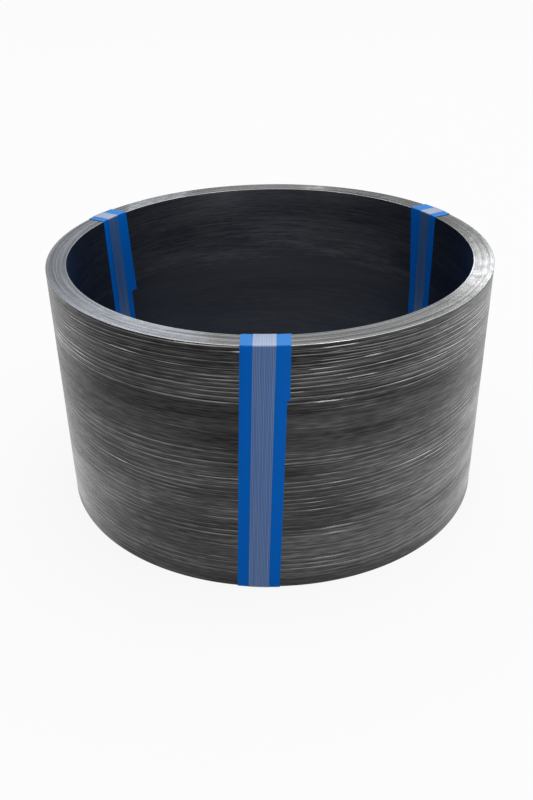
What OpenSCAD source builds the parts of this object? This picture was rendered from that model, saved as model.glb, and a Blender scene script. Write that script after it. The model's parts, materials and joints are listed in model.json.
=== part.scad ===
// Coil of steel strip standing on its end, held by three ties.
// Each tie is a wide blue tape wound round the wall, with a filament tape over it.
// The bore axis is Z, and z = 0 is the floor under the ties.

/* [Strip] */
// Width of the strip, which is the height of the coil
strip_w = 316; // [150:1:600]
// Thickness of the strip, which is one turn of the wall
strip_t = 1; // [0.5:0.1:3]
// Number of turns in the wall
turns = 25; // [5:1:60]
// Chamfer on the slit edges of the strip
edge_c = 0.15; // [0.05:0.01:0.2]
// Furthest that a turn strays sideways from the mean end face
stray = 0.3; // [0.1:0.1:2]

/* [Bore] */
// Diameter of the bore, left by the winding mandrel
bore_d = 508; // [300:1:800]

/* [Tapes] */
// Thickness of the blue tape
blue_t = 0.25; // [0.1:0.05:0.5]
// Thickness of the filament tape
filament_t = 0.2; // [0.1:0.05:0.4]
// Glue and slack under each tape, between it and what it sticks to
glue_t = 0.12; // [0.1:0.01:0.2]

/* [Front tie] */
// Width of the blue tape
front_blue_w = 50; // [30:1:75]
// Width of the filament tape
front_filament_w = 24; // [12:1:30]
// Angle round the coil at which the tie crosses the top end
front_angle = -91.3; // [-120:0.1:-60]
// Lean of the tie from upright
front_lean = 2.1; // [-4:0.1:4]
// Length of the lapped tape down the outside
front_lap_outside = 64; // [20:1:140]
// Length of the lapped tape down the bore
front_lap_bore = 40; // [20:1:140]
// Sideways shift of the lap where it crosses the top end
front_lap_shift = 2; // [-10:0.5:10]
// Lean of the lap from the tape under it
front_lap_lean = -1; // [-6:0.1:6]

/* [Left tie] */
// Width of the blue tape
left_blue_w = 41; // [30:1:75]
// Width of the filament tape
left_filament_w = 20; // [12:1:30]
// Angle round the coil at which the tie crosses the top end
left_angle = 149.6; // [120:0.1:180]
// Lean of the tie from upright
left_lean = 2.1; // [-4:0.1:4]
// Length of the lapped tape down the outside
left_lap_outside = 40; // [20:1:140]
// Length of the lapped tape down the bore
left_lap_bore = 120; // [20:1:140]
// Sideways shift of the lap where it crosses the top end
left_lap_shift = -7; // [-10:0.5:10]
// Lean of the lap from the tape under it
left_lap_lean = 1.2; // [-6:0.1:6]

/* [Right tie] */
// Width of the blue tape
right_blue_w = 44; // [30:1:75]
// Width of the filament tape
right_filament_w = 20; // [12:1:30]
// Angle round the coil at which the tie crosses the top end
right_angle = 30.5; // [0:0.1:60]
// Lean of the tie from upright
right_lean = 0.2; // [-4:0.1:4]
// Length of the lapped tape down the outside
right_lap_outside = 40; // [20:1:140]
// Length of the lapped tape down the bore
right_lap_bore = 112; // [20:1:140]
// Sideways shift of the lap where it crosses the top end
right_lap_shift = 7.5; // [-10:0.5:10]
// Lean of the lap from the tape under it
right_lap_lean = 4; // [-6:0.1:6]

/* [Hidden] */
$fn = 256;

// Radii of the wall
bore_r = bore_d / 2;
outer_r = bore_r + turns * strip_t;
middle_r = (bore_r + outer_r) / 2;

// Heights of the tapes' layers above the steel
blue_in = glue_t;
blue_out = blue_in + blue_t;
filament_in = blue_out + glue_t;
filament_out = filament_in + filament_t;

// Heights of the wall, from its lowest turn to its highest
low_z = filament_out;
high_z = low_z + strip_w + 2 * stray;
mean_z = low_z + stray;

// Segments in each fold round a corner of the wall
fold_steps = 4;
// Room round the wall for the shapes that cut the tapes out
reach = 20;

// Places of a tie's values in its list
ANGLE = 0;
LEAN = 1;
LAP_OUTSIDE = 2;
LAP_BORE = 3;
LAP_SHIFT = 4;
LAP_LEAN = 5;
BLUE_W = 6;
FILAMENT_W = 7;

// The values of each tie, in that order
front_tie = [
    front_angle, front_lean, front_lap_outside, front_lap_bore,
    front_lap_shift, front_lap_lean, front_blue_w, front_filament_w,
];
left_tie = [
    left_angle, left_lean, left_lap_outside, left_lap_bore,
    left_lap_shift, left_lap_lean, left_blue_w, left_filament_w,
];
right_tie = [
    right_angle, right_lean, right_lap_outside, right_lap_bore,
    right_lap_shift, right_lap_lean, right_blue_w, right_filament_w,
];

// How far turn i strays: a wave over about five turns, and a quicker one that breaks it up
function strays(i) = stray * (0.6 * sin(80 * i + 20) + 0.4 * sin(137.5 * i + 75));

// Radius at which turn i starts
function turn_r(i) = bore_r + i * strip_t;

// Top edge of turn i, from its inside to its outside
function top_edge(i) = let (z = mean_z + strip_w + strays(i)) [
    [turn_r(i), z - edge_c],
    [turn_r(i) + edge_c, z],
    [turn_r(i + 1) - edge_c, z],
    [turn_r(i + 1), z - edge_c],
];

// Bottom edge of turn i, from its outside to its inside
function bottom_edge(i) = let (z = mean_z + strays(i)) [
    [turn_r(i + 1), z + edge_c],
    [turn_r(i + 1) - edge_c, z],
    [turn_r(i) + edge_c, z],
    [turn_r(i), z + edge_c],
];

// Quarter fold of the given radius round a corner of the wall
function fold(r, z, radius, start) = [
    for (k = [0 : fold_steps])
    let (a = start + 90 * k / fold_steps)
    [r + radius * cos(a), z + radius * sin(a)]
];

// Line all round the section of the wall, at a height above the steel
function loop(height) = concat(
    fold(outer_r, high_z, height, 0),
    fold(bore_r, high_z, height, 90),
    fold(bore_r, low_z, height, 180),
    fold(outer_r, low_z, height, 270)
);

module coil_section() {
    polygon(concat(
        [for (i = [0 : turns - 1]) each top_edge(i)],
        [for (i = [turns - 1 : -1 : 0]) each bottom_edge(i)]
    ));
}

// Part of the section that a lap covers, with its free ends made longer by extra
module lap_zone(tie, extra) {
    outside = tie[LAP_OUTSIDE] + extra;
    inside = tie[LAP_BORE] + extra;
    translate([middle_r, high_z - outside])
    square([outer_r - middle_r + reach, outside + reach]);
    translate([bore_r - reach, high_z - inside])
    square([middle_r - bore_r + reach, inside + reach]);
}

// Section inside a line at a height, raised by one layer where the lap lies under it
module raised_section(tie, height, extra) {
    polygon(loop(height));
    intersection() {
        polygon(loop(height + blue_t));
        lap_zone(tie, extra);
    }
}

// Upright slab that cuts a tape of the given width out of a ring
module slab(tie, width, shift, lean) {
    rotate([0, 0, tie[ANGLE]])
    translate([middle_r, shift, high_z])
    rotate([-lean, 0, 0])
    cube([outer_r - bore_r + 2 * reach, width, 2 * (high_z + reach)], center = true);
}

module blue_tape(tie) {
    color("royalblue") {
        intersection() {
            rotate_extrude()
            difference() {
                polygon(loop(blue_out));
                polygon(loop(blue_in));
            }
            slab(tie, tie[BLUE_W], 0, tie[LEAN]);
        }
        intersection() {
            rotate_extrude()
            intersection() {
                difference() {
                    polygon(loop(blue_out + blue_t));
                    polygon(loop(blue_in));
                }
                lap_zone(tie, 0);
            }
            slab(tie, tie[BLUE_W], tie[LAP_SHIFT], tie[LEAN] + tie[LAP_LEAN]);
        }
    }
}

module filament_tape(tie) {
    color("lightsteelblue")
    intersection() {
        rotate_extrude()
        difference() {
            raised_section(tie, filament_out, glue_t + filament_t);
            raised_section(tie, filament_in, glue_t);
        }
        slab(tie, tie[FILAMENT_W], 0, tie[LEAN]);
    }
}

module steel_coil() {
    color("dimgray")
    rotate_extrude()
    coil_section();
}

module blue_tape_front() { blue_tape(front_tie); }
module blue_tape_left() { blue_tape(left_tie); }
module blue_tape_right() { blue_tape(right_tie); }
module filament_tape_front() { filament_tape(front_tie); }
module filament_tape_left() { filament_tape(left_tie); }
module filament_tape_right() { filament_tape(right_tie); }

steel_coil();
blue_tape_front();
blue_tape_left();
blue_tape_right();
filament_tape_front();
filament_tape_left();
filament_tape_right();
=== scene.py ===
# %% [markdown]
# # A coil of steel strip on its end
# One long strip of dark steel is wound into a ring and stands on a floor. Three ties hold it:
# each is a wide blue tape round the wall, with a narrower filament tape over it.
# The solids of the part already have the real size, so they are loaded first, and every
# piece below takes its sizes from them.

# %% Load the solids
import json
import math

import bmesh
import bpy
from mathutils import Matrix, Vector


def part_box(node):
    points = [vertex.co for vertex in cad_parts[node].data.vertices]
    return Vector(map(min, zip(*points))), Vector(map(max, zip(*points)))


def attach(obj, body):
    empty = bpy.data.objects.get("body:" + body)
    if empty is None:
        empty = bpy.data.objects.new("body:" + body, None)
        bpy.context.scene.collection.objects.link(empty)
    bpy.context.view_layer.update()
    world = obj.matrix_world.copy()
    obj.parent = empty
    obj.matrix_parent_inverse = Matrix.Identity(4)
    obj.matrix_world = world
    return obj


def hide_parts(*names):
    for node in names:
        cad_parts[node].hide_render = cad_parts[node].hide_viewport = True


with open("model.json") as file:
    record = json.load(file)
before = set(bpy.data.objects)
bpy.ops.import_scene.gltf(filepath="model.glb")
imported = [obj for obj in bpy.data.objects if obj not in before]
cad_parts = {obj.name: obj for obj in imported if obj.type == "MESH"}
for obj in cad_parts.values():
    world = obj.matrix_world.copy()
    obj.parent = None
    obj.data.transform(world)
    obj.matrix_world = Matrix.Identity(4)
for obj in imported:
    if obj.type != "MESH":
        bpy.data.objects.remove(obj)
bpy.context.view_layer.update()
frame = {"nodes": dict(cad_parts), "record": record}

print("solids:", sorted(frame["nodes"]))

# %% Sizes of the wall, from the solids
MM = 0.001
coil_low, coil_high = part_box("steel_coil")
mounts = {mount["name"]: mount for mount in frame["record"]["mounts"]}
bore_r = mounts["bore"]["dims"]["r_mm"] * MM
outer_r = coil_high.x
middle_r = (bore_r + outer_r) / 2
wall_w = outer_r - bore_r
wall_h = coil_high.z - coil_low.z
turns = 25
strip_t = wall_w / turns
print(f"wall from {bore_r / MM:.1f} to {outer_r / MM:.1f} mm, {turns} turns of {strip_t / MM:.2f} mm")

# %% [markdown]
# ## The camera
# The photograph looks down into the coil from the front. A camera could be aimed at an empty with a
# Track To constraint, but that leaves no say in the small roll that the photograph has.
# A camera in Blender looks along its own -Z with +Y up, so its matrix is built here from three
# directions: right, up and back. The focal length in pixels of an 800 pixel high image becomes a
# lens on a 36 mm sensor.

# %% Set up the camera
IMAGE_H = 800
FOCAL_PX = 880.4
SENSOR_W = 36.0
CAMERA_AT = Vector((0.0, -1.0654, 0.7104))
# Angles in radians
CAMERA_PITCH = 0.5251
CAMERA_YAW = -0.0065
CAMERA_ROLL = 0.0167


def put_in_scene(name, data):
    """A new object that holds the given mesh, camera or lamp."""
    thing = bpy.data.objects.new(name, data)
    bpy.context.scene.collection.objects.link(thing)
    return thing


camera = put_in_scene("camera", bpy.data.cameras.new("camera"))
camera.data.sensor_width = SENSOR_W
camera.data.lens = SENSOR_W * FOCAL_PX / IMAGE_H
level = math.cos(CAMERA_PITCH)
ahead = Vector((math.sin(CAMERA_YAW) * level, math.cos(CAMERA_YAW) * level, -math.sin(CAMERA_PITCH)))
right = Vector((math.cos(CAMERA_YAW), -math.sin(CAMERA_YAW), 0.0))
right = Matrix.Rotation(CAMERA_ROLL, 3, ahead) @ right
up = right.cross(ahead)
axes = Matrix((right, up, -ahead)).transposed()
camera.matrix_world = Matrix.Translation(CAMERA_AT) @ axes.to_4x4()
bpy.context.scene.camera = camera
print(f"lens {camera.data.lens:.2f} mm")

# %% [markdown]
# ## Colours and shader nodes
# A colour is picked on screen as an sRGB hex value, and the shader works in linear light, so one
# function turns one into the other. Node trees could be drawn by hand in the editor, but a script
# can be read and repeated. A small function adds a node with its settings and links, and every
# finish below is built with it.

# %% Helpers for every finish
def linear(code):
    """Linear RGBA of an sRGB hex colour such as "4a4b4e"."""
    rgb = []
    for k in (0, 2, 4):
        c = int(code[k:k + 2], 16) / 255
        rgb.append(c / 12.92 if c <= 0.04045 else ((c + 0.055) / 1.055) ** 2.4)
    return (*rgb, 1.0)


def feed(tree, node, inputs):
    """Sets each input to a value, or links it to an output or to a node's first output."""
    for name, value in inputs.items():
        if isinstance(value, bpy.types.Node):
            value = value.outputs[0]
        if isinstance(value, bpy.types.NodeSocket):
            tree.links.new(value, node.inputs[name])
        else:
            node.inputs[name].default_value = value


def add(tree, kind, inputs=None, stops=None, **settings):
    """Adds a node. stops are the places on a colour ramp, each with a grey or a hex colour."""
    node = tree.nodes.new("ShaderNode" + kind)
    for name, value in settings.items():
        setattr(node, name, value)
    feed(tree, node, inputs or {})
    if stops:
        elements = node.color_ramp.elements
        elements.remove(elements[1])
        for k, (at, colour) in enumerate(stops):
            stop = elements[0] if k == 0 else elements.new(at)
            stop.position = at
            stop.color = linear(colour) if isinstance(colour, str) else (colour, colour, colour, 1.0)
    return node


def new_finish(name):
    """A new material with its node tree, its Principled shader and the piece's own coordinates."""
    material = bpy.data.materials.new(name)
    material.use_nodes = True
    tree = material.node_tree
    place = add(tree, "TexCoord")
    return material, tree, tree.nodes["Principled BSDF"], place


print(f"half way up the hex scale is {linear('808080')[0]:.3f} in linear light")

# %% [markdown]
# ## Floor and light
# The coil stands on a plain floor that reaches past the horizon of the picture. A floor could be made
# white with stronger lamps, but they would bleach the coil. So its paint is grey, and only rays to
# the camera or to a mirror get a glow on top, which brings the open floor to white and leaves the
# shade of the coil.
# The sun stands nearly overhead and is very wide, because the flat cut edges of the rim mirror it, and
# a small sun would burn them out. Metal shows what it mirrors, so soft boxes stand where it looks:
# behind the coil for the rim, at the front corners for the wall, and weak ones on the other sides, so
# that the rim isn't black from there. A bounce card on the floor brightens the right of the wall.

# %% Lay the floor
FLOOR_HALF = 30.0
FLOOR_GLOW = 0.875

floor_bm = bmesh.new()
bmesh.ops.create_grid(floor_bm, x_segments=1, y_segments=1, size=FLOOR_HALF)
floor_mesh = bpy.data.meshes.new("floor")
floor_bm.to_mesh(floor_mesh)
floor_bm.free()
floor = put_in_scene("floor", floor_mesh)
print(f"floor {2 * FLOOR_HALF:.0f} m wide")

# %% Paint the floor
# Matt paint: rough and without gloss, so the floor shows only soft shade
floor_paint, tree, shader, _ = new_finish("matt_pale_floor")
path = add(tree, "LightPath")
seen = add(
    tree, "Math",
    {0: path.outputs["Is Camera Ray"], 1: path.outputs["Is Glossy Ray"]},
    operation="MAXIMUM",
)
seen = add(tree, "Math", {0: seen, 1: path.outputs["Is Transmission Ray"]}, operation="MAXIMUM")
glow = add(tree, "Math", {0: seen, 1: FLOOR_GLOW}, operation="MULTIPLY")
feed(tree, shader, {
    "Base Color": linear("5c5c5c"),
    "Roughness": 0.9,
    "Specular IOR Level": 0.0,
    "Emission Color": linear("ffffff"),
    "Emission Strength": glow,
})
floor_mesh.materials.append(floor_paint)
print("nodes in floor paint:", len(tree.nodes))

# %% Set the soft boxes
WHITE = "ffffff"
COOL = "edf3ff"
MIDDLE = (0.0, 0.0, 0.2)
OVER_CARD = (0.43, -0.26, 1.0)

# Each box: name, place, what it faces, width and height, radiance and tint
BOXES = [
    ("box_back", (0.0, 3.3, 2.2), MIDDLE, (1.0, 0.8), 0.28, WHITE),
    ("box_back_far_left", (-1.25, 3.3, 2.0), MIDDLE, (1.5, 1.2), 0.34, COOL),
    ("box_back_far_right", (1.25, 3.3, 2.0), MIDDLE, (1.5, 1.2), 0.3, WHITE),
    ("box_back_left", (-0.74, 3.2, 1.93), MIDDLE, (0.8, 0.3), 0.66, COOL),
    ("box_back_right", (1.09, 3.2, 1.65), MIDDLE, (0.3, 0.16), 2.4, WHITE),
    ("box_low_left", (-0.55, 3.2, 1.24), MIDDLE, (0.3, 0.1), 1.0, COOL),
    ("box_low_middle", (0.23, 3.2, 1.19), MIDDLE, (0.1, 0.08), 0.9, WHITE),
    ("box_front_left", (-2.3, -2.6, 0.5), MIDDLE, (0.8, 0.6), 3.0, WHITE),
    ("box_front_right", (1.7, -3.0, 0.5), MIDDLE, (0.9, 0.6), 8.0, WHITE),
    ("box_right", (2.4, 0.6, 0.5), MIDDLE, (1.2, 0.9), 1.2, WHITE),
    ("box_front", (0.0, -3.3, 2.0), MIDDLE, (4.0, 1.2), 0.4, WHITE),
    ("box_left", (-3.3, 0.0, 2.0), MIDDLE, (4.0, 1.2), 0.4, WHITE),
    ("box_far_right", (3.3, 0.0, 2.0), MIDDLE, (4.0, 1.2), 0.4, WHITE),
    ("card_right", (0.53, -0.32, 0.04), OVER_CARD, (1.2, 0.55), 0.45, WHITE),
]

for name, at, towards, size, radiance, tint in BOXES:
    lamp = bpy.data.lights.new(name, "AREA")
    lamp.shape = "RECTANGLE"
    lamp.size, lamp.size_y = size
    lamp.energy = radiance * math.pi * size[0] * size[1]
    lamp.color = linear(tint)[:3]
    box = put_in_scene(name, lamp)
    facing = (Vector(towards) - Vector(at)).to_track_quat("-Z", "Y")
    box.matrix_world = Matrix.Translation(at) @ facing.to_matrix().to_4x4()
    box.visible_camera = False
print("soft boxes:", len(BOXES))

# %% Set the sun and the room
SUN_ENERGY = 2.4
SUN_WIDTH = math.radians(90)
SUN_TILT = math.radians(8)
ROOM_LIGHT = 0.12

sun = bpy.data.lights.new("sun", "SUN")
sun.energy = SUN_ENERGY
sun.angle = SUN_WIDTH
sun_at = put_in_scene("sun", sun)
sun_at.rotation_euler = (-SUN_TILT, SUN_TILT, 0)

world = bpy.data.worlds.new("studio")
world.use_nodes = True
room = world.node_tree.nodes["Background"]
feed(world.node_tree, room, {"Color": linear(WHITE), "Strength": ROOM_LIGHT})
bpy.context.scene.world = world
bpy.context.scene.view_settings.view_transform = "Standard"
print("lamps:", len(bpy.data.lights))

# %% [markdown]
# ## The wound wall
# On the real coil each turn lies on the one below it, and on the two ends the slit edges of the
# turns stand side by side, some a little proud of the rest. A ring of this kind could be lathed
# with a Screw modifier, but the turns then all run true. Here the section of the wall is drawn once
# as a closed wire, spun round the bore's axis, and each turn's edge is then moved up or down a
# little along its way round. The notches between turns are shallow, because the cut edges are nearly
# a mirror, and a mirror shows every slope.

# %% Draw the edges of the turns
NOTCH = 0.02 * MM
EDGE_ROUND = 0.1 * MM
LIP = 0.4 * MM
LIP_STEPS = 12
END_ROOM = 0.3 * MM

top_z = coil_high.z - END_ROOM
bottom_z = coil_low.z + END_ROOM


def end_points(z, outward):
    """The slit edges of all the turns at one end: radius, height and the turn they belong to."""
    quarter = [math.pi / 2 * k / LIP_STEPS for k in range(LIP_STEPS + 1)]
    lips = [(LIP * (1 - math.cos(a)), z - outward * LIP * (1 - math.sin(a))) for a in quarter]
    points = [(bore_r + inset, height, 0) for inset, height in lips]
    for i in range(1, turns):
        inner = bore_r + i * strip_t
        points.append((inner - EDGE_ROUND, z, i - 1))
        points.append((inner, z - outward * NOTCH, i))
        points.append((inner + EDGE_ROUND, z, i))
    points += [(outer_r - inset, height, turns - 1) for inset, height in reversed(lips)]
    return points


print(f"ends of the wall at {bottom_z / MM:.2f} and {top_z / MM:.2f} mm")

# %% Draw the section of the wall
WALL_ROWS = 40
ON_NO_EDGE = -1


def wall_points(r, z0, z1):
    """A straight wall between the two ends."""
    return [(r, z0 + (z1 - z0) * k / WALL_ROWS, ON_NO_EDGE) for k in range(1, WALL_ROWS)]


section = wall_points(bore_r, bottom_z + LIP, top_z - LIP)
section += end_points(top_z, 1)
section += wall_points(outer_r, top_z - LIP, bottom_z + LIP)
section += reversed(end_points(bottom_z, -1))

coil_bm = bmesh.new()
turn_of = coil_bm.verts.layers.int.new("turn")
wire = []
for r, z, i in section:
    vert = coil_bm.verts.new((r, 0.0, z))
    vert[turn_of] = i
    wire.append(vert)
for a, b in zip(wire, wire[1:] + wire[:1]):
    coil_bm.edges.new((a, b))
print("section points:", len(wire))

# %% Spin the section and let the turns stray
SPIN_STEPS = 300
STRAY = 0.06 * MM
WANDER = 0.02 * MM

bmesh.ops.spin(
    coil_bm,
    geom=coil_bm.verts[:] + coil_bm.edges[:],
    axis=(0, 0, 1),
    cent=(0, 0, 0),
    angle=math.tau,
    steps=SPIN_STEPS,
    use_merge=True,
)


def stray(i):
    """How far turn i stands proud: a wave over nine turns, and a quicker one that breaks it up."""
    slow = math.sin(math.radians(40 * i + 20))
    quick = math.sin(math.radians(137.5 * i + 75))
    return STRAY * (0.6 * slow + 0.4 * quick)


def wander(i, angle):
    """How far the edge of turn i drifts along its way round: once round, and twice round."""
    return WANDER * (math.sin(angle + 2.4 * i) + 0.6 * math.sin(2 * angle + 1.7 * i))


for vert in coil_bm.verts:
    i = vert[turn_of]
    if i != ON_NO_EDGE:
        vert.co.z += stray(i) + wander(i, math.atan2(vert.co.y, vert.co.x))
bmesh.ops.recalc_face_normals(coil_bm, faces=coil_bm.faces[:])
print("coil faces:", len(coil_bm.faces))

# %% Tell the faces of the wall apart
OUTSIDE, SLIT, BORE = range(3)
UPRIGHT = 0.2
# Edges steeper than this stay sharp: the notches stay lines, and the cut edges stay flat
COIL_SHARP = math.radians(8)

for face in coil_bm.faces:
    middle = face.calc_center_median()
    face.material_index = SLIT
    if abs(face.normal.z) < UPRIGHT and bottom_z + LIP < middle.z < top_z - LIP:
        face.material_index = OUTSIDE if middle.xy.length > middle_r else BORE


def smooth_by_angle(bm, limit):
    """Shades a mesh smooth, and keeps its edges over the limit sharp."""
    for face in bm.faces:
        face.smooth = True
    for edge in bm.edges:
        edge.smooth = edge.calc_face_angle(0.0) < limit


smooth_by_angle(coil_bm, COIL_SHARP)
print("sharp edges:", sum(not edge.smooth for edge in coil_bm.edges))

# %% [markdown]
# ## Rolled steel
# The strip was rolled and oiled, and its faces slid over each other as the coil was wound. That leaves
# dark scale with streaks along the strip, which run round the wall: each is bright where it was
# rubbed, and a dark line along one side of it is painted shade beside the raised streak. An image of
# brushed metal could be wrapped round the wall, but it would need a map and show a seam.
# So the streaks are counted instead. The height on the strip, bent by slow waves, is cut into equal
# steps, and a colour ramp draws one streak in each step. Noise makes some strong and some faint, lets
# them fade in patches and turns a few into short bright nicks, which are painted glints, and finer
# noise adds tone, grain and flecks. All of it reads the place in space, slow along X and Y and fast
# in Z, so there is no seam.
# The streaks also lift the surface a little, and the bright ones carry a glossy film of oil.

# %% Noise along the strip
def rolled_noise(tree, place, seed, length, tall):
    """Noise that is slow round the coil and fast across the strip."""
    stretch = add(
        tree, "Mapping",
        {
            "Vector": place.outputs["Object"],
            "Location": (seed, seed, seed),
            "Scale": (1 / length, 1 / length, 1 / tall),
        },
    )
    return add(tree, "TexNoise", {"Vector": stretch, "Scale": 1.0, "Detail": 0.0})


def rolled_marks(tree, place, seed, mark, faintest=0.0):
    """Marks cut out of that noise, which rise from faintest to 1."""
    length, tall, low, high = mark
    noise = rolled_noise(tree, place, seed, length, tall)
    return add(
        tree, "MapRange",
        {"Value": noise, "From Min": low, "From Max": high, "To Min": faintest},
        interpolation_type="SMOOTHSTEP",
    )


# Each kind of mark: its length and height, and where in the noise it starts and is full
TONE = (150 * MM, 26 * MM, 0.35, 0.65)
GRAIN = (60 * MM, 2.8 * MM, 0.3, 0.7)
FLECK = (16 * MM, 1.5 * MM, 0.3, 0.7)
PATCH = (170 * MM, 16 * MM, 0.3, 0.55)
# Nicks are painted glints: short bright marks that light up the streaks
NICK_GLINT = (60 * MM, 8 * MM, 0.65, 0.73)
print(f"grain {GRAIN[1] / MM:.1f} mm high, flecks {FLECK[1] / MM:.1f} mm")

# %% Sizes of the streaks
# Sets of streaks: seed, distance between them, half width, and length and height of their waves.
# Real ones are a tenth of a millimetre wide, and these are drawn wider, so that they show.
STREAKS = {
    "long": (3, 6 * MM, 0.65 * MM, 450 * MM, 50 * MM),
    "fine": (4, 4.2 * MM, 0.55 * MM, 320 * MM, 35 * MM),
}
# How far the waves carry a streak up or down, in distances between streaks
WAVES = 3.0
# Across a streak: places in half widths from its middle, and its light there
PLAIN = 0.5
STREAK_AT = 0.4
# The dip after the middle is the streak's dark side: painted shade beside the raised streak
PROFILE = [(-1.6, PLAIN), (-0.5, 1.0), (0.5, 1.0), (2.0, 0.25), (4.0, PLAIN)]
# Strength of the faintest streak, and what is left of a streak where it fades
FAINT = 0.3
FADED = 0.35
# Share of the streaks across the strip's width, from its bottom edge to its top edge
SHARES = {
    "long": [
        (0.0, 0.1), (0.06, 0.45), (0.2, 0.4), (0.46, 0.9),
        (0.57, 0.6), (0.62, 0.07), (0.75, 0.07), (0.79, 1.0),
    ],
    "fine": [
        (0.0, 0.1), (0.1, 0.18), (0.4, 0.2), (0.5, 0.35),
        (0.74, 0.2), (0.8, 1.0), (0.97, 1.0), (1.0, 0.3),
    ],
}
# Patches and nicks differ from set to set, so their seeds are counted on from the set's own
PATCH_SEED = 10
NICK_GLINT_SEED = 20
for layer, (seed, apart, *_) in STREAKS.items():
    print(f"{layer} streaks: {wall_h / apart:.0f} across the strip")

# %% Draw one set of streaks
def streaks(tree, place, z, across, layer, glint_light):
    """Light of a set of streaks: above 0 in their middles, below 0 in their dark sides, which are
    painted shade.
    """
    seed, apart, half, wave_l, wave_h = STREAKS[layer]
    # The streaks are counted up the strip, and waves bend them
    count = add(tree, "Math", {0: z, 1: 1 / apart}, operation="MULTIPLY")
    wave = rolled_noise(tree, place, seed, wave_l, wave_h)
    count = add(tree, "Math", {0: wave, 1: WAVES, 2: count}, operation="MULTIPLY_ADD")
    step = add(tree, "Math", {0: count}, operation="FRACT")
    thin = half / apart
    drawn = add(
        tree, "ValToRGB", {"Fac": step},
        stops=[(STREAK_AT + at * thin, light) for at, light in PROFILE],
    )
    drawn.color_ramp.interpolation = "EASE"
    line = add(tree, "Math", {0: drawn, 1: PLAIN}, operation="SUBTRACT")
    # Some are strong and some are faint, and here and there one is a short bright nick, a painted glint
    number = add(tree, "Math", {0: count}, operation="FLOOR")
    own = add(tree, "TexWhiteNoise", {"W": number}, noise_dimensions="1D")
    own = add(tree, "Math", {0: own, 1: 1 - FAINT, 2: FAINT}, operation="MULTIPLY_ADD")
    nick_glint = rolled_marks(tree, place, seed + NICK_GLINT_SEED, NICK_GLINT)
    own = add(tree, "Math", {0: nick_glint, 1: glint_light, 2: own}, operation="MULTIPLY_ADD")
    # Each fades along its way, and some heights of the strip have few
    patch = rolled_marks(tree, place, seed + PATCH_SEED, PATCH, FADED)
    share = add(tree, "ValToRGB", {"Fac": across}, stops=SHARES[layer])
    share = add(tree, "Math", {0: patch, 1: share}, operation="MULTIPLY")
    strength = add(tree, "Math", {0: share, 1: own}, operation="MULTIPLY")
    return add(tree, "Math", {0: line, 1: strength}, operation="MULTIPLY")


print("stops across a streak:", len(PROFILE))

# %% A finish for both faces of the strip
# Seeds of the marks that lie under the streaks
UNDER = {"tone": (11, TONE), "grain": (2, GRAIN), "fleck": (7, FLECK)}
# Light between which the steel goes from rough to smooth, and from dry to oiled
ROUGH_AT, SMOOTH_AT = 0.2, 0.8
DRY_AT, OILED_AT = 0.08, 0.4
DRY_SHARE = 0.15
OIL_ROUGHNESS = 0.22


def rolled_finish(name, weights, painted_light_by_height, tones, relief, gloss, coat):
    """Rolled strip steel.

    weights says how much each kind of mark lightens it, the light by height is painted light and shade
    added across the strip's width, and tones are its colours from dark to light. relief is how high the
    streaks stand in millimetres, gloss the roughness of dark and of light steel, and coat the strength
    of the oil.
    """
    material, tree, shader, place = new_finish(name)
    xyz = add(tree, "SeparateXYZ", {"Vector": place.outputs["Object"]})
    z = xyz.outputs["Z"]
    across = add(tree, "MapRange", {"Value": z, "From Min": bottom_z, "From Max": top_z})
    light = weights["base"]
    for mark, (seed, sizes) in UNDER.items():
        marks = rolled_marks(tree, place, seed, sizes)
        light = add(tree, "Math", {0: marks, 1: weights[mark], 2: light}, operation="MULTIPLY_ADD")
    # Painted light and shade by height on the strip
    shade = add(tree, "ValToRGB", {"Fac": across}, stops=painted_light_by_height)
    light = add(tree, "Math", {0: shade, 1: light}, operation="ADD")
    height = 0.0
    for layer in STREAKS:
        line = streaks(tree, place, z, across, layer, weights["nick_glint"])
        light = add(tree, "Math", {0: line, 1: weights[layer], 2: light}, operation="MULTIPLY_ADD")
        height = add(tree, "Math", {0: line, 1: relief[layer], 2: height}, operation="MULTIPLY_ADD")

    rough, smooth = gloss
    worn = add(
        tree, "MapRange",
        {"Value": light, "From Min": ROUGH_AT, "From Max": SMOOTH_AT, "To Min": rough, "To Max": smooth},
    )
    film = add(
        tree, "MapRange",
        {
            "Value": light,
            "From Min": DRY_AT,
            "From Max": OILED_AT,
            "To Min": DRY_SHARE * coat,
            "To Max": coat,
        },
    )
    bump = add(tree, "Bump", {"Height": height, "Strength": 1.0, "Distance": MM})
    feed(tree, shader, {
        "Base Color": add(tree, "ValToRGB", {"Fac": light}, stops=tones),
        "Metallic": 1.0,
        "Roughness": worn,
        "Coat Weight": film,
        "Coat Roughness": OIL_ROUGHNESS,
        "Normal": bump,
        "Coat Normal": bump,
    })
    print(f"{name}: {len(tree.nodes)} nodes")
    return material


# %% Make the outside
# Dark scale, rubbed and oiled: nearly black from the front, with streaks that glint along their length
rolled = rolled_finish(
    "rolled_strip_steel",
    weights={
        "base": 0.05, "tone": 0.08, "grain": 0.06, "fleck": 0.08,
        "long": 0.56, "fine": 0.42, "nick_glint": 1.4,
    },
    # Painted light and shade by height: lighter low on the wall, a painted reflection of the bright
    # floor; darker at the very foot, painted shade where it meets the floor; darker in a band above the
    # middle
    painted_light_by_height=[
        (0.0, 0.0), (0.03, 0.03), (0.06, 0.11), (0.18, 0.1), (0.3, 0.08),
        (0.5, 0.05), (0.62, 0.0), (0.76, 0.0), (0.8, 0.04), (1.0, 0.0),
    ],
    tones=[(0.0, "0e0e0f"), (0.25, "2b2b2d"), (0.6, "737271"), (1.0, "d7d5d1")],
    relief={"long": 0.5, "fine": 0.3},
    gloss=(0.42, 0.24),
    coat=0.95,
)

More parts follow.
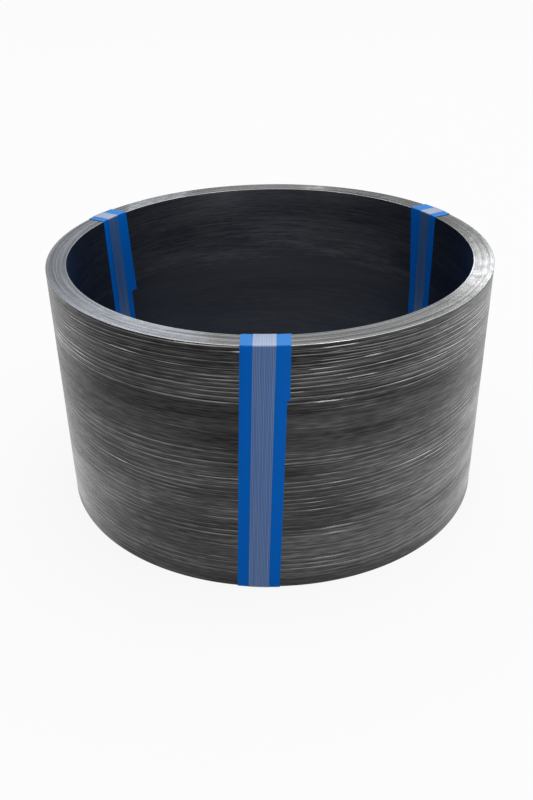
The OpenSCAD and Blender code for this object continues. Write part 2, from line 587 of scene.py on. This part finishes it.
# %% Make the bore
# Oiled steel that nothing rubbed: even and dull, painted darker towards the floor and lighter near the
# top as painted shade down the bore, with a painted blue sheen at a shallow angle
oiled = rolled_finish(
    "oiled_strip_steel_painted_shade",
    weights={
        "base": 0.16, "tone": 0.04, "grain": 0.04, "fleck": 0.04,
        "long": 0.06, "fine": 0.06, "nick_glint": 0.0,
    },
    # Painted light and shade down the bore: darker towards the floor, lighter near the top
    painted_light_by_height=[(0.0, 0.0), (0.5, 0.06), (0.67, 0.29), (1.0, 0.36)],
    tones=[(0.0, "101620"), (0.5, "3f4147"), (1.0, "a2a4aa")],
    relief={"long": 0.01, "fine": 0.01},
    gloss=(0.46, 0.4),
    coat=0.0,
)
# A painted blue sheen stands in for the blue tapes that the bore mirrors, and a bluish edge tint dulls
# the steel most at a shallow angle
feed(oiled.node_tree, oiled.node_tree.nodes["Principled BSDF"], {
    "Specular Tint": linear("6482a6"),
    "Sheen Weight": 0.12,
    "Sheen Roughness": 0.5,
    "Sheen Tint": linear("3f7cc4"),
})

# %% [markdown]
# ## Slit edges
# The ends of the coil show the edges that the slitting knives cut. They are bare, smooth and brighter
# than the faces, with fine lines where one turn ends and the next starts, and the first and the last
# turn are painted bright, a painted highlight along the rounded lips. Rings could be drawn by a wave
# texture, but they would all be alike. Here noise reads the distance from the axis fast, and the place
# round the ring slowly, so that each line is a little different and fades along its way.

# %% Lines of the cut
# Lines are drawn wider than a turn, so that they show
LINE_W = 2.4 * MM
LINE_L = 160 * MM
# A Mix node has sockets for every kind of value, so the ones for colours are picked by number
MIX_A, MIX_B, MIX_OUT = 6, 7, 2

slit, tree, shader, place = new_finish("slit_edge_steel")
flat = add(tree, "VectorMath", {0: place.outputs["Object"], 1: (1.0, 1.0, 0.0)}, operation="MULTIPLY")
radius = add(tree, "VectorMath", {0: flat}, operation="LENGTH").outputs["Value"]
xyz = add(tree, "SeparateXYZ", {"Vector": flat})
ring = add(tree, "CombineXYZ", {"X": radius, "Y": xyz.outputs["X"], "Z": xyz.outputs["Y"]})
stretch = add(
    tree, "Mapping",
    {"Vector": ring, "Scale": (1 / LINE_W, 1 / LINE_L, 1 / LINE_L)},
)
lines = add(tree, "TexNoise", {"Vector": stretch, "Scale": 1.0, "Detail": 2.0})
line = add(tree, "MapRange", {"Value": lines, "From Min": 0.3, "From Max": 0.7})
cut = add(
    tree, "Mix",
    {0: line, MIX_A: linear("909193"), MIX_B: linear("cfd0d1")},
    data_type="RGBA",
)
print(f"about {wall_w / LINE_W:.0f} lines across the wall")

# %% Make the slit edges
# Bare cut steel: bright and nearly a mirror, so it shows the room in soft bands
SMUDGE = 12 * MM
# How far in the painted highlight on the first and last turn reaches, in turns: full to here, and gone
# there
LIP_HIGHLIGHT_FULL = 1.0
LIP_HIGHLIGHT_GONE = 1.5

off_middle = add(tree, "Math", {0: radius, 1: middle_r}, operation="SUBTRACT")
off_middle = add(tree, "Math", {0: off_middle}, operation="ABSOLUTE")
lip_highlight = add(
    tree, "MapRange",
    {
        "Value": off_middle,
        "From Min": wall_w / 2 - LIP_HIGHLIGHT_GONE * strip_t,
        "From Max": wall_w / 2 - LIP_HIGHLIGHT_FULL * strip_t,
    },
)
# The first and last turn get a painted highlight
cut = add(
    tree, "Mix",
    {0: lip_highlight, MIX_A: cut.outputs[MIX_OUT], MIX_B: linear("dcdcdc")},
    data_type="RGBA",
)
smudge = add(
    tree, "TexNoise",
    {"Vector": place.outputs["Object"], "Scale": 1 / SMUDGE, "Detail": 4.0},
)
gloss = add(
    tree, "MapRange",
    {"Value": smudge, "From Min": 0.35, "From Max": 0.65, "To Min": 0.09, "To Max": 0.16},
)
feed(tree, shader, {"Base Color": cut.outputs[MIX_OUT], "Metallic": 1.0, "Roughness": gloss})
print("nodes in slit edge:", len(tree.nodes))

# %% Put the coil together
def finished(name, bm, materials, node):
    """Turns a bmesh into a piece that stands for a solid and rides with the part."""
    mesh = bpy.data.meshes.new(name)
    bm.to_mesh(mesh)
    bm.free()
    for material in materials:
        mesh.materials.append(material)
    piece = put_in_scene(name, mesh)
    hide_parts(node)
    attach(piece, "root")
    triangles = sum(len(face.vertices) - 2 for face in mesh.polygons)
    print(f"{name}: {triangles} triangles")


finished("wound_coil", coil_bm, [rolled, slit, oiled], "steel_coil")

# %% [markdown]
# ## The ties
# A tie is tape, so it is made as tape: a flat strip from the roll, laid along a path round the wall.
# The path runs up the bore, over the top, down the outside and back underneath. The blue tape goes
# once round and then laps over its own start, which lifts it by its own thickness. A grid gives the
# flat strip, each row of it is carried to its place on the path, and extruding it outwards makes it
# as thick as the tape. A curve with a bevel would be shorter, but couldn't lap over itself.

# %% The path round the wall
way_round = 2 * (wall_h + wall_w)
ROW = 10 * MM
FOLD_STEPS = 4

# Runs of the section: where each starts, its radius and height there, its direction
# in radius and in height, and its outward angle
RUNS = [
    (0.0, bore_r, coil_low.z, 0, 1, math.pi),
    (wall_h, bore_r, coil_high.z, 1, 0, math.pi / 2),
    (wall_h + wall_w, outer_r, coil_high.z, 0, -1, 0.0),
    (2 * wall_h + wall_w, outer_r, coil_low.z, -1, 0, -math.pi / 2),
]


def rows_between(first, last):
    """Rows of a strip along the path: distance, radius, height and outward angle of each."""
    corners = [run[0] + lap * way_round for lap in range(-2, 3) for run in RUNS]
    onwards = 1 if last > first else -1
    inside = [corner for corner in corners if min(first, last) < corner < max(first, last)]
    stops = [first] + sorted(inside, reverse=onwards < 0) + [last]
    rows = []
    for a, b in zip(stops, stops[1:]):
        lap, middle = divmod((a + b) / 2, way_round)
        start, r, z, dr, dz, outward = [run for run in RUNS if run[0] <= middle][-1]
        count = max(1, round(abs(b - a) / ROW))
        for k in range(count + 1):
            s = a + (b - a) * k / count
            run_on = s - lap * way_round - start
            rows.append((s, r + dr * run_on, z + dz * run_on, outward))
        # The strip folds round each corner in a few small steps
        for k in range(1, FOLD_STEPS if b != last else 0):
            fold = outward - onwards * math.pi / 2 * k / FOLD_STEPS
            rows.append((b, rows[-1][1], rows[-1][2], fold))
    return rows


print(f"once round the wall is {way_round / MM:.0f} mm, in {len(rows_between(0.0, way_round))} rows")

# %% Lay a flat strip along the path
TAPE_SHARP = math.radians(30)
MERGE = 0.01 * MM


def laid_tape(rows, columns, width, thickness, angle, height, drift, ridge=lambda across: 0.0):
    """A strip of tape as a bmesh. Each row gets a height off the steel and a drift sideways."""
    bm = bmesh.new()
    bm.loops.layers.uv.new("tape")
    bmesh.ops.create_grid(bm, x_segments=len(rows) - 1, y_segments=columns, size=0.5, calc_uvs=True)
    row_of = bm.verts.layers.int.new("row")
    across = bm.verts.layers.float.new("across")
    for vert in bm.verts:
        vert[row_of] = round((vert.co.x + 0.5) * (len(rows) - 1))
        vert[across] = vert.co.y

    def lay(vert, lift):
        """Carries a corner of the strip to its place, lifted off the steel."""
        row = vert[row_of]
        _, r, z, outward = rows[row]
        off = height(row) + lift
        r += off * math.cos(outward)
        sideways = drift(row) + vert[across] * width
        turned = angle + math.asin(sideways / r)
        vert.co = (r * math.cos(turned), r * math.sin(turned), z + off * math.sin(outward))

    for vert in bm.verts:
        lay(vert, 0.0)
    bmesh.ops.remove_doubles(bm, verts=bm.verts[:], dist=MERGE)
    outer = bmesh.ops.extrude_face_region(bm, geom=bm.faces[:])["geom"]
    for vert in outer:
        if isinstance(vert, bmesh.types.BMVert):
            lay(vert, thickness + ridge(vert[across]))
    bmesh.ops.recalc_face_normals(bm, faces=bm.faces[:])
    smooth_by_angle(bm, TAPE_SHARP)
    return bm


print(f"a row at least every {1.5 * ROW / MM:.0f} mm")

# %% [markdown]
# ## Blue film
# The blue tape is polyethylene film, coloured through, with a satin face. Film is stretched as it is
# made, which leaves very faint lines along it. They could be a bump alone, but on a satin face they
# show more as a change of tone and gloss, so one noise drives all three.
# Where it goes over the ends of the coil, the film is painted paler: a painted sheen where the ends face
# the light.

# %% Painted sheen over the ends
SHEEN_DEPTH = 1 * MM


def sheen_over_the_ends(tree, place, colour, pale):
    """Mixes a paler colour in where a tape lies on an end of the coil: a painted sheen."""
    middle_z = (coil_low.z + coil_high.z) / 2
    xyz = add(tree, "SeparateXYZ", {"Vector": place.outputs["Object"]})
    off_middle = add(tree, "Math", {0: xyz.outputs["Z"], 1: middle_z}, operation="SUBTRACT")
    off_middle = add(tree, "Math", {0: off_middle}, operation="ABSOLUTE")
    end = add(
        tree, "MapRange",
        {"Value": off_middle, "From Min": wall_h / 2 - SHEEN_DEPTH, "From Max": wall_h / 2},
    )
    mixed = add(tree, "Mix", {0: end, MIX_A: colour, MIX_B: pale}, data_type="RGBA")
    return mixed.outputs[MIX_OUT]


print(f"film turns pale over the last {SHEEN_DEPTH / MM:.0f} mm")

# %% Make the blue film
# Satin plastic: an even, deep blue with a soft gloss
# Lines across the tape are about 1.2 mm apart, drawn wider than life, so that they show
DRAW_RUNS = 3.0
DRAW_LINES = 40.0
DRAW_H = 0.1 * MM

blue_film, tree, shader, place = new_finish("blue_polyethylene_film")
along = add(tree, "Mapping", {"Vector": place.outputs["UV"], "Scale": (DRAW_RUNS, DRAW_LINES, 1.0)})
draw = add(tree, "TexNoise", {"Vector": along, "Scale": 1.0, "Detail": 2.0})
film = add(
    tree, "Mix",
    {0: draw, MIX_A: linear("0070de"), MIX_B: linear("0078e8")},
    data_type="RGBA",
)
# Over the ends the blue is painted paler, a painted sheen
feed(tree, shader, {
    "Base Color": sheen_over_the_ends(tree, place, film.outputs[MIX_OUT], linear("448fe2")),
    "Roughness": add(tree, "MapRange", {"Value": draw, "To Min": 0.36, "To Max": 0.46}),
    "IOR": 1.5,
    "Specular IOR Level": 0.1,
    "Normal": add(tree, "Bump", {"Height": draw, "Strength": 0.2, "Distance": DRAW_H}),
})
print("nodes in blue film:", len(tree.nodes))

# %% [markdown]
# ## Filament tape
# The narrow tape is clear film with glass threads glued along it. The threads scatter light, so they
# look whitish over the blue below, and each catches the light by itself. The film could be truly
# clear, but one thin skin over another adds noise and shows little more. So the blue below is in
# its colour, the ridges of the threads are in the mesh, and the shader counts the same threads
# across the tape's own UV map.

# %% Count the threads
THREADS = 14
# Runs along the tape in which a thread shows more or less
THREAD_RUNS = 6.0
# From the gap to the middle of a thread, in distances between threads
THREAD_FROM, THREAD_TO = 0.08, 0.36
LEAST_SHOWN = 0.25

filament, tree, shader, place = new_finish("clear_tape_with_glass_threads")
uv = add(tree, "SeparateXYZ", {"Vector": place.outputs["UV"]})
counted = add(tree, "Math", {0: uv.outputs["Y"], 1: THREADS}, operation="MULTIPLY")
bundle = add(tree, "Math", {0: counted, 1: 0.5}, operation="PINGPONG")
thread = add(tree, "MapRange", {"Value": bundle, "From Min": THREAD_FROM, "From Max": THREAD_TO})
lie = add(tree, "Mapping", {"Vector": place.outputs["UV"], "Scale": (THREAD_RUNS, THREADS, 1.0)})
uneven = add(tree, "TexNoise", {"Vector": lie, "Scale": 1.0, "Detail": 2.0})
shown = add(
    tree, "MapRange",
    {"Value": uneven, "From Min": 0.3, "From Max": 0.7, "To Min": LEAST_SHOWN},
)
white = add(tree, "Math", {0: thread, 1: shown}, operation="MULTIPLY")
print("threads:", THREADS)

# %% Make the filament tape
# Glossy film over glass: greyish blue with pale lines, and painted almost white over the ends, a painted
# sheen
glass = add(
    tree, "Mix",
    {0: white, MIX_A: linear("1357a8"), MIX_B: linear("6e8fb6")},
    data_type="RGBA",
)
pale_glass = add(
    tree, "Mix",
    {0: white, MIX_A: linear("9db1d6"), MIX_B: linear("ccd6e6")},
    data_type="RGBA",
)
feed(tree, shader, {
    "Base Color": sheen_over_the_ends(tree, place, glass.outputs[MIX_OUT], pale_glass.outputs[MIX_OUT]),
    "Roughness": 0.32,
    "IOR": 1.5,
    "Specular IOR Level": 0.75,
})
print("nodes in filament tape:", len(tree.nodes))

# %% [markdown]
# ## Three ties
# The ties stand about a third of the way round from each other, and none is quite upright. Each blue
# tape ends where it was cut, in front on the outside and at the back inside the bore. The lap drifts
# sideways off the first turn, so a step shows where it ends. One tape could be copied and turned,
# but no two ties are alike, so each is laid from its own sizes.

# %% Sizes of the ties
BLUE_T = 0.25 * MM
FILAMENT_T = 0.2 * MM
GLUE_T = 0.12 * MM

# Each tie: widths of its tapes, angle round the coil and lean from upright, length of the lap
# outside and in the bore, shift and lean of the lap, and whether its cut end shows outside.
# Lengths are in millimetres and angles in degrees.
TIES = {
    "front": {
        "blue_w": 50, "filament_w": 24, "angle": -91.3, "lean": 2.1,
        "lap_outside": 64, "lap_bore": 40, "lap_shift": 2, "lap_lean": -1.0, "ends_outside": True,
    },
    "left": {
        "blue_w": 41, "filament_w": 20, "angle": 149.6, "lean": 2.1,
        "lap_outside": 40, "lap_bore": 120, "lap_shift": -7, "lap_lean": 1.2, "ends_outside": False,
    },
    "right": {
        "blue_w": 44, "filament_w": 20, "angle": 30.5, "lean": 0.2,
        "lap_outside": 40, "lap_bore": 112, "lap_shift": 7.5, "lap_lean": 4.0, "ends_outside": False,
    },
}


def slope(degrees):
    """Sideways drift for each metre of height."""
    return math.tan(math.radians(degrees))


def lap_ends(tie):
    """Where on the path the lap ends, in the bore and outside."""
    return wall_h - tie["lap_bore"] * MM, wall_h + wall_w + tie["lap_outside"] * MM


print("ties:", ", ".join(TIES))

# %% Lay the blue tapes
BLUE_COLUMNS = 12
# Lengths over which a tape climbs onto the lap, and over which the lap drifts sideways
CLIMB = 6 * MM
DRIFT_OVER = 150 * MM


def ease(x):
    """0 below 0, 1 above 1, and a smooth rise between."""
    x = min(max(x, 0.0), 1.0)
    return x * x * (3 - 2 * x)


def blue_strip(tie):
    """The blue tape of a tie: once round the wall, and on over its own start."""
    bore_end, outside_end = lap_ends(tie)
    if tie["ends_outside"]:
        first, last = bore_end, outside_end + way_round
    else:
        first, last = outside_end, bore_end - way_round
    rows = rows_between(first, last)
    lean = slope(tie["lean"])
    lap_lean = slope(tie["lap_lean"])

    def height(row):
        gone = abs(rows[row][0] - first)
        return GLUE_T + BLUE_T * ease((gone - way_round + CLIMB) / CLIMB)

    def drift(row):
        gone = abs(rows[row][0] - first)
        below = rows[row][2] - coil_high.z
        on_lap = ease((gone - way_round + DRIFT_OVER) / DRIFT_OVER)
        return below * lean + on_lap * (tie["lap_shift"] * MM + below * lap_lean)

    angle = math.radians(tie["angle"])
    return laid_tape(rows, BLUE_COLUMNS, tie["blue_w"] * MM, BLUE_T, angle, height, drift)


print(f"blue tape {BLUE_T / MM:.2f} mm thick on {GLUE_T / MM:.2f} mm of glue")

# %% Lay the filament tapes
RIDGE_H = 0.12 * MM


def thread_ridge(across):
    """Height of the threads' ridges across the tape."""
    return RIDGE_H * (0.5 - 0.5 * math.cos(math.tau * THREADS * (across + 0.5)))


def filament_strip(tie):
    """The filament tape of a tie: once round over the blue tape, and up over its lap."""
    bore_end, outside_end = lap_ends(tie)
    rows = rows_between(0.0, way_round)
    lean = slope(tie["lean"])

    def height(row):
        s = rows[row][0]
        over_lap = min(ease((s - bore_end) / CLIMB + 1), ease((outside_end - s) / CLIMB + 1))
        return GLUE_T + BLUE_T + GLUE_T + BLUE_T * over_lap

    def drift(row):
        return (rows[row][2] - coil_high.z) * lean

    angle = math.radians(tie["angle"])
    width = tie["filament_w"] * MM
    film_t = FILAMENT_T - RIDGE_H
    return laid_tape(rows, 2 * THREADS, width, film_t, angle, height, drift, thread_ridge)


print(f"filament tape {FILAMENT_T / MM:.2f} mm thick, with ridges of {RIDGE_H / MM:.2f} mm")

# %% Tie the coil
for name, tie in TIES.items():
    finished("blue_film_" + name, blue_strip(tie), [blue_film], "blue_tape_" + name)
    clear = filament_strip(tie)
    finished("filament_tape_over_" + name, clear, [filament], "filament_tape_" + name)
